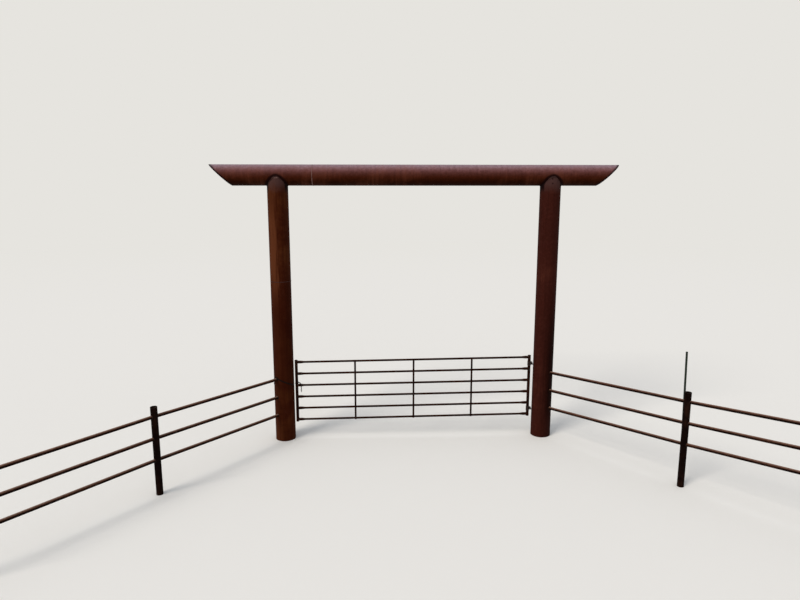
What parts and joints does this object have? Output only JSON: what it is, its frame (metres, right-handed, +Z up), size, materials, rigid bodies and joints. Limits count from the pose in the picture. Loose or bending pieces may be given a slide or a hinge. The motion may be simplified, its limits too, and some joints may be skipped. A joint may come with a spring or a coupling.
{
  "type": "ranch entrance gateway",
  "caption": "Weathered steel pipe gateway: posts under a beam with mitred ends, a swinging bar gate and splayed rail wing fences.",
  "frame": {"origin": "on the ground at the middle of the footprint, so the gateway stands behind it and the wing fences run forward past it", "axes": "+X along the beam towards the hinge post, +Y through the gateway away from the wing fences, +Z up"},
  "size_m": [12.8569, 5.1192, 5.6012],
  "materials": {
    "gateway_post_steel": "rusted pipe, dark red-brown, streaked",
    "beam_steel": "rusted pipe, red-brown, paler on top",
    "fence_post_steel": "rusted pipe, near black-brown",
    "rail_steel": "rusted pipe, brown",
    "gate_steel": "rusted pipe, dark brown",
    "hinge_steel": "rusted bar, worn at the bearing faces",
    "chain_steel": "dull, weathered",
    "stake_paint": "dark green enamel"
  },
  "bodies": {
    "root": {"latch_post": "gateway_post_steel", "hinge_post": "gateway_post_steel", "header_beam": "beam_steel", "left_fence_post_1": "fence_post_steel", "left_fence_post_2": "fence_post_steel", "right_fence_post_1": "fence_post_steel", "right_fence_post_2": "fence_post_steel", "left_top_rail_1": "rail_steel", "left_mid_rail_1": "rail_steel", "left_low_rail_1": "rail_steel", "left_top_rail_2": "rail_steel", "left_mid_rail_2": "rail_steel", "left_low_rail_2": "rail_steel", "right_top_rail_1": "rail_steel", "right_mid_rail_1": "rail_steel", "right_low_rail_1": "rail_steel", "right_top_rail_2": "rail_steel", "right_mid_rail_2": "rail_steel", "right_low_rail_2": "rail_steel", "upper_hinge_pin": "hinge_steel", "lower_hinge_pin": "hinge_steel", "post_chain": "chain_steel", "marker_stake": "stake_paint"},
    "gate": {"gate_bar_1": "gate_steel", "gate_bar_2": "gate_steel", "gate_bar_3": "gate_steel", "gate_bar_4": "gate_steel", "gate_bar_5": "gate_steel", "gate_bar_6": "gate_steel", "gate_stay_1": "gate_steel", "gate_stay_2": "gate_steel", "gate_stay_3": "gate_steel", "latch_stile": "gate_steel", "hinge_stile": "gate_steel", "upper_hinge_eye": "hinge_steel", "lower_hinge_eye": "hinge_steel", "gate_chain": "chain_steel"}
  },
  "joints": [
    {"name": "gate_swing", "type": "hinge", "parent": "root", "child": "gate", "pos_m": [2.4508, 2.35641, 0.581], "axis": [0, 0, 1], "range_deg": [-90, 90]}
  ]
}
